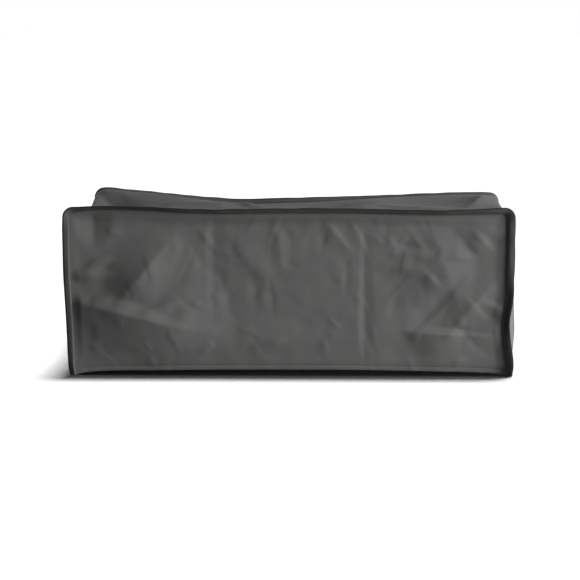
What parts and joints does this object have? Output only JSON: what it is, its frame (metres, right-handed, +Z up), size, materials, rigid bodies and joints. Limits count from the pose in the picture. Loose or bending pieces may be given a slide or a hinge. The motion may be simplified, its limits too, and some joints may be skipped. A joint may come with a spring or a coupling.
{
  "type": "griddle cover",
  "caption": "Fitted box-shaped cloth cover for a tabletop griddle, open at the bottom, with tape-bound outward seams round its front and back panels.",
  "frame": {"origin": "centre of the cover's footprint, on the surface that its hem stands on", "axes": "+X across the front to the right seen from the front, +Y from the front to the back, +Z up"},
  "size_m": [0.6031, 0.4714, 0.2266],
  "materials": {
    "cover_cloth": "coated woven polyester, dark grey, soft sheen",
    "binding_tape": "woven polyester tape, dark grey, dull"
  },
  "bodies": {
    "root": {"front_panel": "cover_cloth", "back_panel": "cover_cloth", "wrap_strip": "cover_cloth", "front_binding": "binding_tape", "back_binding": "binding_tape"}
  },
  "joints": []
}
